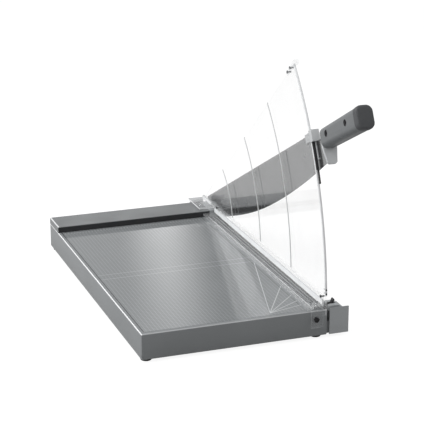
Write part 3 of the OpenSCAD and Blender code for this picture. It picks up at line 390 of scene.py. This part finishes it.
def in_millimetres(tree, corner):
    """Object coordinates in millimetres from that point of the scene, as one vector."""
    return add_node(tree, "Mapping", {
        "Vector": add_node(tree, "TexCoord").outputs["Object"],
        "Location": tuple(-1000 * part for part in corner),
        "Scale": (1000.0, 1000.0, 1000.0)}).outputs[0]


def on_base(tree):
    """Places on the base in millimetres, as the three sockets x, y and z."""
    return add_node(tree, "SeparateXYZ", {0: in_millimetres(tree, base_low)}).outputs


def stripe(tree, distance, width):
    """1 on a printed line of that width in millimetres, and 0 away from it."""
    off = work_out(tree, "ABSOLUTE", distance)
    return ramp(tree, off, width * 0.4, width * 0.6, 1.0, 0.0)


def line_at(tree, value, place, width):
    """A printed line where the value passes that place."""
    return stripe(tree, work_out(tree, "SUBTRACT", value, place), width)


def lines_every(tree, value, pitch, width):
    """Printed lines at even steps of the value, from 0 on."""
    return stripe(tree, work_out(tree, "PINGPONG", value, pitch / 2), width)


def between(tree, value, low, high):
    """1 where the value lies between two numbers."""
    above = work_out(tree, "GREATER_THAN", value, low)
    return work_out(tree, "MULTIPLY", above, work_out(tree, "LESS_THAN", value, high))


def inked(tree, drawing, line, strength):
    """The drawing with one more line laid over it at that strength."""
    return work_out(tree, "MAXIMUM", drawing, work_out(tree, "MULTIPLY", line, strength))


side_line = 1.3


def side_lines(tree, value, drawing, *lines):
    """Adds straight lines to the drawing, each with its place and its strength."""
    for place, strength in lines:
        drawing = inked(tree, drawing, line_at(tree, value, place, side_line), strength)
    return drawing


dark_ink_and_shade = (0.02, 0.021, 0.022, 1.0)


def printed(name, ground, ink, drawn_by):
    """A glossy sheet of the ground colour. A function draws its pale print and its dark lines,
    which are print and painted shade.
    """
    made, tree, shader = start_finish(name, ground, 0.06)
    x, y = on_base(tree)[:2]
    pale, dark = drawn_by(tree, x, y)
    drift = noise(tree, add_node(tree, "TexCoord").outputs["Object"], scale=9.0, detail=4.0)
    tone = mixed(tree, drift, toned(ground, 0.93), toned(ground, 1.07))
    tone = mixed(tree, pale, tone, (*ink, 1.0))
    tone = mixed(tree, dark, tone, dark_ink_and_shade)
    tree.links.new(tone, shader.inputs["Base Color"])
    worn = ramp(tree, drift, start=0.35, end=0.65, first=0.05, last=0.09)
    tree.links.new(worn, shader.inputs["Roughness"])
    return made


grid_pitch, grid_line, grid_strength = 5.44, 0.9, 0.22
tick_pitch, tick_line, tick_strength = 5.0, 1.0, 0.45
tick_front, tick_back = 446.0, 451.0
across_places, across_line, across_strength = (224.5, 243.0), 1.0, 0.5
fan_angles, fan_line, fan_strength = (75, 60, 45, 30, 15), 1.1, 0.9
fan_x, fan_y = 195.5, 15.7
fan_left, fan_right = 196.0, 250.0


def table_print(tree, x, y):
    """The table's grid, ticks, two lines across and fan, and the lines along its sides. The dark
    lines just inside its left and front edges are painted shade of the gap to the rim.
    """
    grid = work_out(tree, "MAXIMUM", lines_every(tree, x, grid_pitch, grid_line),
                    lines_every(tree, y, grid_pitch, grid_line))
    pale = work_out(tree, "MULTIPLY", grid, grid_strength)
    ticks = work_out(tree, "MULTIPLY", lines_every(tree, x, tick_pitch, tick_line),
                     between(tree, y, tick_front, tick_back))
    pale = inked(tree, pale, ticks, tick_strength)
    for place in across_places:
        pale = inked(tree, pale, line_at(tree, y, place, across_line), across_strength)
    for angle in fan_angles:
        run, rise = math.cos(math.radians(angle)), math.sin(math.radians(angle))
        along = work_out(tree, "SUBTRACT", x, fan_x)
        up = work_out(tree, "SUBTRACT", y, fan_y)
        off = work_out(tree, "SUBTRACT", work_out(tree, "MULTIPLY", along, rise),
                       work_out(tree, "MULTIPLY", up, run))
        line = work_out(tree, "MULTIPLY", stripe(tree, off, fan_line),
                        between(tree, x, fan_left, fan_right))
        pale = inked(tree, pale, line, fan_strength)
    pale = side_lines(tree, x, pale, (252.6, 0.5))
    # Painted shade: the dark lines at x 6.0 and y 7.9 stand for the gap between table and rim.
    dark = side_lines(tree, y, 0.0, (7.9, 0.5))
    return pale, side_lines(tree, x, dark, (6.0, 0.8), (246.3, 0.35), (256.0, 0.75))


def scale_print(tree, x, y):
    """Pale and dark lines along the scale strip."""
    pale = side_lines(tree, x, 0.0, (259.2, 0.9), (266.2, 0.4), (271.8, 0.3))
    return pale, side_lines(tree, x, 0.0, (261.6, 0.7), (264.0, 0.6), (269.2, 0.7), (273.6, 0.6))


table_ground, table_ink = (0.225, 0.237, 0.243), (0.62, 0.64, 0.65)
strip_ground, strip_ink = (0.15, 0.158, 0.163), (0.66, 0.68, 0.69)
dress(printed("table_print", table_ground, table_ink, table_print), 0.15, "table_plate")
dress(printed("scale_print", strip_ground, strip_ink, scale_print), 0.1, "scale_strip")

# Fence. A hollow black bar screwed down from below, under a folded cover of brushed and
# lacquered sheet that wraps its top, back and left end. The top of its left end carries a
# near white painted highlight.
highlight_band_w = 2.4
fence_brushed = grained(
    "fence_brushed", (0.230, 0.239, 0.245), 0.4, metal=0.15, grain=1.5, spread=0.20,
    stretch=(0.02, 1, 1))
fence_tree = fence_brushed.node_tree
fence_base = fence_tree.nodes["Principled BSDF"].inputs["Base Color"]
# Painted highlight: upward faces within the band at the left end are near white.
fence_up = add_node(
    fence_tree, "SeparateXYZ", {0: add_node(fence_tree, "NewGeometry").outputs["Normal"]}).outputs[2]
fence_painted_highlight = work_out(
    fence_tree, "MULTIPLY", work_out(fence_tree, "GREATER_THAN", fence_up, edge_lean),
    work_out(fence_tree, "LESS_THAN", on_base(fence_tree)[0], highlight_band_w))
fence_tone = mixed(fence_tree, fence_painted_highlight, fence_base.links[0].from_socket, (0.92, 0.93, 0.94, 1.0))
fence_tree.links.new(fence_tone, fence_base)
dress(fence_brushed, 0.0, "fence_cover")
fence_black = grained("fence_black", (0.028, 0.029, 0.031), 0.45, grain=0.5, spread=0.15)
dress(fence_black, 0.4, "fence_body")

# Fixed blade. A ground steel bar let in along the cutting side, held by five countersunk
# screws. It ends before the pivot block.
ground_steel = grained(
    "ground_steel", (0.52, 0.53, 0.54), 0.24, metal=1.0, grain=0.3, spread=0.10, stretch=(1, 0.04, 1))
screw_steel = grained("screw_steel", (0.36, 0.37, 0.38), 0.34, metal=1.0, grain=0.25, spread=0.12)
dress(ground_steel, 0.15, "counter_blade")
dress(screw_steel, 0.0, "counter_blade_screws")

# Pivot. A light cast block in the back corner carries the shoulder bolt that the arm
# turns on, with a brass washer and bush, two cup springs and an outer washer.
cast_grey = grained(
    "cast_grey", (0.48, 0.50, 0.51), 0.48, metal=0.3, grain=0.9, spread=0.08, depth=0.06)
washer_brass = grained("washer_brass", (0.60, 0.44, 0.18), 0.3, metal=1.0, grain=0.3, spread=0.1)
dress(cast_grey, 0.7, "pivot_block")
dress(screw_steel, 0.35, "pivot_bolt", "outer_washer")
dress(washer_brass, 0.05, "thrust_washer", "pivot_bush")
dress(ground_steel, 0.08, "cup_springs")

# Lift springs. Two coils of bright wire that raise the guard, one in the deck under the
# front of the flange and one in the fence under the rear guide. Their sizes are in metres.
wire_r, coil_r, coil_turns = 0.0004, 0.0028, 7
coil_steps = coil_turns * 20
spring_wire = grained("spring_wire", (0.55, 0.56, 0.57), 0.22, metal=1.0, grain=0.3, spread=0.1)
for spring_name, node in (("front_spring", "front_lift_spring"), ("rear_spring", "rear_lift_spring")):
    spring_low, spring_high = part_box(node)
    spring_height = spring_high.z - spring_low.z
    bpy.ops.object.select_all(action="DESELECT")
    bpy.ops.mesh.primitive_circle_add(
        vertices=10, radius=wire_r, location=(coil_r, 0.0, wire_r), rotation=(math.pi / 2, 0.0, 0.0))
    spring = bpy.context.object
    spring.name = spring_name
    apply_transform()
    apply_modifier(
        spring, "SCREW", axis="Z", angle=math.tau * coil_turns, steps=coil_steps,
        render_steps=coil_steps, screw_offset=spring_height - 2 * wire_r, use_smooth_shade=True)
    spring.location = (
        (spring_low.x + spring_high.x) / 2, (spring_low.y + spring_high.y) / 2, spring_low.z)
    apply_transform()
    bpy.ops.object.mode_set(mode="EDIT")
    bpy.ops.mesh.select_all(action="SELECT")
    bpy.ops.mesh.fill_holes(sides=0)
    bpy.ops.mesh.normals_make_consistent(inside=False)
    bpy.ops.object.mode_set(mode="OBJECT")
    finish_piece(spring, spring_wire, "root", "spring_steel", node)
    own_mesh(spring)

# Latch end. A carrier on the side of the base, dark as a painted shade of the slot beside
# the housing, holds the grey end plate, and a light moulding with the black lever that hooks the
# lowered arm.
carrier_painted_shade = grained("carrier_painted_shade", (0.16, 0.167, 0.172), 0.55, grain=0.8, spread=0.12, depth=0.04)
moulded_black = grained("moulded_black", (0.020, 0.020, 0.022), 0.5, grain=0.6, spread=0.2, depth=0.03)
moulded_light = grained("moulded_light", (0.46, 0.48, 0.49), 0.42, grain=0.8, spread=0.04, depth=0.03)
plate_brushed = grained(
    "plate_brushed", (0.385, 0.400, 0.410), 0.4, metal=0.2, grain=0.35, spread=0.06,
    stretch=(0.03, 1, 1))
# The carrier's dark colour is painted shade of the slot beside the housing.
dress(carrier_painted_shade, 0.6, "end_carrier")
dress(black_oxide, 0.2, "carrier_screws", "end_plate_screws", "latch_screws")
dress(plate_brushed, 0.4, "end_plate")
dress(moulded_light, 0.7, "latch_housing")
dress(screw_steel, 0.2, "latch_pin")
dress(moulded_black, 0.45, "latch_lever")

# Guard plate. Clear acrylic sheet, cut to a sector round the pivot. Its polished faces
# mirror the floor and the fence weakly, which pales what is seen through it.
highlight_from_x = 265.0


def clear_sheet(name, tint, face_share, edge_share, facing, highlight_heights=None, mirror=False):
    """Clear plastic. Its alpha is the face share on faces square to the facing axis, and the
    edge share on the others. Where two heights are given, the others are nearly opaque and
    pale between them beside the cut, as a painted highlight. A mirror reflects in its faces."""
    rough, metal = (0.03, 1.0) if mirror else (0.08, 0.0)
    made, tree, shader = start_finish(name, tint, rough, metal)
    shader.inputs["IOR"].default_value = 1.49
    normal = add_node(tree, "SeparateXYZ", {0: add_node(tree, "NewGeometry").outputs["Normal"]})
    squarely = work_out(tree, "ABSOLUTE", normal.outputs[facing])
    share = ramp(tree, squarely, start=0.5, end=0.9, first=edge_share, last=face_share)
    # Painted highlight: between the two heights, the faces not square to the axis are made nearly
    # opaque, so they show pale.
    if highlight_heights:
        x, _, z = on_base(tree)
        band = work_out(
            tree, "MULTIPLY", between(tree, z, *highlight_heights), work_out(tree, "LESS_THAN", squarely, 0.5))
        band = work_out(tree, "MULTIPLY", band, work_out(tree, "GREATER_THAN", x, highlight_from_x))
        share = work_out(tree, "MAXIMUM", share, band)
    haze = noise(tree, add_node(tree, "TexCoord").outputs["Object"], scale=22.0, detail=3.0)
    hazed = ramp(tree, haze, start=0.3, end=0.7, first=0.85, last=1.15)
    tree.links.new(work_out(tree, "MULTIPLY", share, hazed), shader.inputs["Alpha"])
    return made


across_axis, along_axis, upright_axis = 0, 1, 2
clear_plate = clear_sheet(
    "clear_plate", (0.98, 0.985, 0.99), face_share=0.105, edge_share=0.12, facing=across_axis,
    mirror=True)
dress(clear_plate, 0.0, "guard_plate")

# Scored arcs. The solid has narrow grooves in the guard's left face. Here frosted strips lie
# in them, wider than the grooves and a little proud of the face, so that they show as pale
# lines against the blade.
hinge = at(0, 486, 34)
face_x = 271.85
arc_foot = 26.6    # the height over the pivot at which the arcs begin
# They end at the guard's upper edge, which rises at this slope, this far from the pivot.
guard_slope, guard_offset = math.radians(39.2), 33.0
arc_radii = (115.0, 239.0, 363.0)
strip_deep, strip_wide = 0.0009, 0.0017
frosted = grained("frosted", (0.66, 0.67, 0.675), 0.6, grain=0.3, spread=0.05)
for order, radius in enumerate(arc_radii):
    arc_low = math.asin(arc_foot / radius)
    arc_high = guard_slope + math.asin(guard_offset / radius)
    bpy.ops.object.select_all(action="DESELECT")
    bpy.ops.mesh.primitive_plane_add(size=1.0, rotation=(math.pi - arc_low, 0.0, 0.0), location=(
        at(face_x, 0, 0).x,
        hinge.y - radius / 1000 * math.cos(arc_low),
        hinge.z + radius / 1000 * math.sin(arc_low)))
    arc = bpy.context.object
    arc.name = f"scored_arc_{order + 1}"
    arc.scale = (strip_deep, strip_wide, 1.0)
    apply_transform()
    bpy.ops.object.mode_set(mode="EDIT")
    bpy.ops.mesh.select_all(action="SELECT")
    bpy.ops.mesh.spin(steps=48, angle=arc_high - arc_low, center=hinge, axis=(1.0, 0.0, 0.0))
    bpy.ops.mesh.select_all(action="SELECT")
    bpy.ops.mesh.normals_make_consistent(inside=False)
    bpy.ops.object.mode_set(mode="OBJECT")
    finish_piece(arc, frosted, "guard", "clear_plastic")

# Rim. A pale extruded rail runs round the guard's edge, with two dark screws at its foot
# and two small steel screws for the clear stop at its top.
rim_pale = grained("rim_pale", (0.88, 0.89, 0.90), 0.4, grain=0.6, spread=0.05)
dress(rim_pale, 0.6, "rim_rail")
dress(screw_steel, 0.2, "rim_stop_screws", "guide_screws")
dress(black_oxide, 0.2, "rim_foot_screws", "rail_screws")

# Clamping rail, guides and stop. Clear acrylic angle that presses on the paper, with a
# bracket over the front and one over the fence, each on a black shoulder screw, and a
# clear bar with a head at the top of the rim that stops the arm.
# The rail's upright gets a pale painted highlight between the two heights given below.
clear_rail = clear_sheet(
    "clear_rail", (0.95, 0.96, 0.97), face_share=0.08, edge_share=0.22, facing=upright_axis,
    highlight_heights=(45.5, 53.0))
clear_hood = clear_sheet(
    "clear_hood", (0.92, 0.93, 0.94), face_share=0.13, edge_share=0.95, facing=upright_axis)
clear_bracket = clear_sheet(
    "clear_bracket", (0.80, 0.82, 0.83), face_share=0.05, edge_share=0.20, facing=along_axis)
dress(clear_rail, 0.0, "clamp_rail")
dress(clear_bracket, 0.0, "front_guide", "rim_stop")
dress(clear_hood, 0.0, "rear_guide")
dress(black_oxide, 0.25, "front_guide_screw", "rear_guide_screw")

# Blade. A long ground steel plate with a curved edge, lapped to a dark shine. The clear
# guard in front of it mirrors the floor and the fence, which pales it and draws a dark band.
arm_turn = math.radians(27.7)
blade_deep, blade_pale = (0.325, 0.330, 0.333, 1.0), (0.365, 0.370, 0.373, 1.0)
blade_steel, blade_tree, blade_shader = start_finish("blade_steel", (0.345, 0.35, 0.353), 0.12, 0.88)
blade_shader.inputs["Specular IOR Level"].default_value = 0.0
arm_place = add_node(blade_tree, "Mapping", {
    "Vector": in_millimetres(blade_tree, hinge), "Rotation": (arm_turn, 0.0, 0.0)}).outputs[0]
lapped_place = add_node(blade_tree, "Mapping", {"Vector": arm_place, "Scale": (1.0, 0.03, 3.0)})
ground_lines = noise(blade_tree, lapped_place.outputs[0], scale=1.0, detail=3.0)
blade_rough = ramp(blade_tree, ground_lines, start=0.3, end=0.7, first=0.10, last=0.16)
blade_tree.links.new(
    mixed(blade_tree, ground_lines, blade_deep, blade_pale), blade_shader.inputs["Base Color"])
blade_tree.links.new(blade_rough, blade_shader.inputs["Roughness"])
dress(blade_steel, 0.0, "blade")
bar_grey = grained("bar_grey", (0.27, 0.28, 0.285), 0.42, grain=0.5, spread=0.06)
dress(bar_grey, 0.6, "arm_stiffener")
dress(screw_steel, 0.3, "stiffener_screws", "catch_pin", "collar_screws")

# Collar. A light moulding that straddles the rim in front of the guard and sits on the
# back of the blade like a saddle, held by two screws. Under it hangs a wiper that slides
# on the rim, and a lip beside the blade, both black as a painted shade of the slot under the collar.


def arm_block(name, low, high):
    """A box on the level arm. Corners are across, out from the pivot and up from its line."""
    return block(
        name, (base_low.x + low[0] / 1000, -high[1] / 1000, low[2] / 1000),
        (base_low.x + high[0] / 1000, -low[1] / 1000, high[2] / 1000))


def seat_on_arm(piece):
    """Turns a piece from the level arm into its raised place."""
    pick(piece)
    piece.rotation_euler = (-arm_turn, 0.0, 0.0)
    piece.location = (0.0, hinge.y, hinge.z)
    apply_transform()


collar = arm_block("collar", (270.2, 491.2, 10.0), (282.2, 499.0, 27.0))
for part_name, low, high in (
        ("left_lip", (270.25, 489.0, 10.05), (271.5, 493.0, 26.95)),
        ("inner_cheek", (275.7, 489.0, -16.0), (277.5, 496.0, 26.9)),
        ("outer_cheek", (280.3, 485.0, -12.0), (282.15, 498.9, 26.8)),
        ("saddle_top", (275.75, 461.0, 24.5), (282.1, 492.0, 26.95)),
        ("saddle_inner", (275.8, 460.0, 14.0), (277.5, 489.5, 26.7)),
        ("saddle_outer", (280.3, 460.0, 14.0), (282.05, 489.6, 26.6))):
    join_on(collar, arm_block(part_name, low, high))
cut_out(collar, arm_block("neck_slot", (277.4, 455.0, -40.0), (280.4, 505.0, 10.0)))
cut_out(collar, arm_block("blade_slot", (277.4, 455.0, 9.0), (280.4, 496.6, 24.5)))
round_edges(collar, width=0.55, segments=3)
seat_on_arm(collar)
collar_light = grained("collar_light", (0.59, 0.605, 0.615), 0.38, grain=0.7, spread=0.04)
finish_piece(collar, collar_light, "arm", "light_plastic", "rim_collar")
# The wiper's black is painted shade of the slot under the collar.
dress(moulded_black, 0.2, "rim_wiper")

# Knuckle guard. A light cast plate square to the arm that keeps the fingers off the blade,
# clamped between blade and grip.
knuckle_light = grained("knuckle_light", (0.61, 0.625, 0.635), 0.42, grain=0.8, spread=0.04)
dress(knuckle_light, 0.8, "knuckle_guard")

# Grip. Two moulded halves of grey plastic round the tang, with a parting line between
# them and two black screws sunk in deep recesses. Hexagon nuts sit in the right half.
near = 1e-6
long_edge = 0.003


def edit_where(piece, kind, chosen):
    """Goes into edit mode with just the vertices, edges or faces that pass the test."""
    pick(piece)
    bpy.ops.object.mode_set(mode="EDIT")
    bpy.ops.mesh.select_mode(type={"vertices": "VERT", "edges": "EDGE", "polygons": "FACE"}[kind])
    bpy.ops.mesh.select_all(action="DESELECT")
    bpy.ops.object.mode_set(mode="OBJECT")
    for item in getattr(piece.data, kind):
        item.select = chosen(item)
    bpy.ops.object.mode_set(mode="EDIT")


def runs_along(piece):
    """A test for the edges that run along the arm."""
    corners = piece.data.vertices

    def test(edge):
        one, two = (corners[i].co for i in edge.vertices)
        return abs(one.y - two.y) > long_edge
    return test


def grip_bar(name, low, high, bottom_rise, top_rise, roundness):
    """A bar along the arm with rounded long edges. The rises lift its root end, so that it
    is slimmer there."""
    bar = arm_block(name, low, high)
    root_y = -low[1] / 1000
    top_z = high[2] / 1000 - near
    edit_where(bar, "vertices", lambda v: abs(v.co.y - root_y) < near and v.co.z < top_z)
    bpy.ops.transform.translate(value=(0.0, 0.0, bottom_rise / 1000))
    bpy.ops.object.mode_set(mode="OBJECT")
    edit_where(bar, "vertices", lambda v: abs(v.co.y - root_y) < near and v.co.z > top_z)
    bpy.ops.transform.translate(value=(0.0, 0.0, top_rise / 1000))
    bpy.ops.object.mode_set(mode="OBJECT")
    edit_where(bar, "edges", runs_along(bar))
    bpy.ops.mesh.bevel(offset=roundness / 1000, segments=8, affect="EDGES")
    bpy.ops.object.mode_set(mode="OBJECT")
    return bar


# The left half keeps what is left of its parting plane and has round recesses for the
# screws. The right half has hexagonal ones for the nuts. The faces round each recess are black, a
# painted shade.
grip_low, grip_high = (266.4, 536.0, -13.0), (291.4, 657.0, 19.5)
grip_holes = ((557.48, 7.67), (625.51, 5.9))
recess_deep, recess_shade_reach = 0.008, 0.005
grip_plastic = grained("grip_plastic", (0.172, 0.180, 0.186), 0.46, grain=0.5, spread=0.06, depth=0.04)
for half_name, node, parting_x, side, recess_x, recess_r, recess_corners in (
        ("left_grip", "grip_left", 278.85, 1, 265.4, 0.00475, 40),
        ("right_grip", "grip_right", 278.95, -1, 291.4, 0.00435, 6)):
    half = grip_bar(half_name, grip_low, grip_high, bottom_rise=3.5, top_rise=0.5, roundness=9.0)
    edit_where(half, "polygons", lambda face: True)
    bpy.ops.mesh.bisect(
        plane_co=(base_low.x + parting_x / 1000, 0.0, 0.0), plane_no=(side, 0.0, 0.0),
        use_fill=True, clear_outer=True)
    bpy.ops.object.mode_set(mode="OBJECT")
    round_edges(half, width=0.45, segments=2, above=60.0)
    for out, up in grip_holes:
        bpy.ops.object.select_all(action="DESELECT")
        bpy.ops.mesh.primitive_cylinder_add(
            vertices=recess_corners, radius=recess_r, depth=recess_deep,
            location=(base_low.x + recess_x / 1000, -out / 1000, up / 1000),
            rotation=(0.0, math.pi / 2, 0.0))
        cut_out(half, bpy.context.object)
    seat_on_arm(half)
    finish_piece(half, grip_plastic, "arm", "grip_grey", node, smooth_below=40.0)
    # Painted shade: the faces round each screw recess take the black finish.
    half.data.materials.append(moulded_black)
    for out, up in grip_holes:
        middle = hinge + Matrix.Rotation(-arm_turn, 3, "X") @ Vector((0.0, -out / 1000, up / 1000))
        for face in half.data.polygons:
            if math.hypot(face.center.y - middle.y, face.center.z - middle.z) < recess_shade_reach:
                face.material_index = 1
dress(moulded_black, 0.2, "grip_screws")
dress(screw_steel, 0.2, "grip_nuts")

# Grip cap. A soft dark cap pressed over the end of the halves, a little proud of them,
# with a well rounded edge round its flat end.
cap_low, cap_high = (265.9, 656.4, -13.5), (291.9, 666.0, 20.0)
cap = grip_bar("cap", cap_low, cap_high, bottom_rise=0.0, top_rise=0.0, roundness=9.4)
end_y = -cap_high[1] / 1000
end_rounding = 0.0038
edit_where(cap, "polygons", lambda face: abs(face.center.y - end_y) < 10 * near)
bpy.ops.mesh.bevel(offset=end_rounding, segments=5, affect="EDGES")
bpy.ops.object.mode_set(mode="OBJECT")
seat_on_arm(cap)
cap_rubber = grained("cap_rubber", (0.074, 0.077, 0.082), 0.62, grain=0.6, spread=0.1, depth=0.04)
finish_piece(cap, cap_rubber, "arm", "cap_rubber", "grip_cap", smooth_below=50.0)
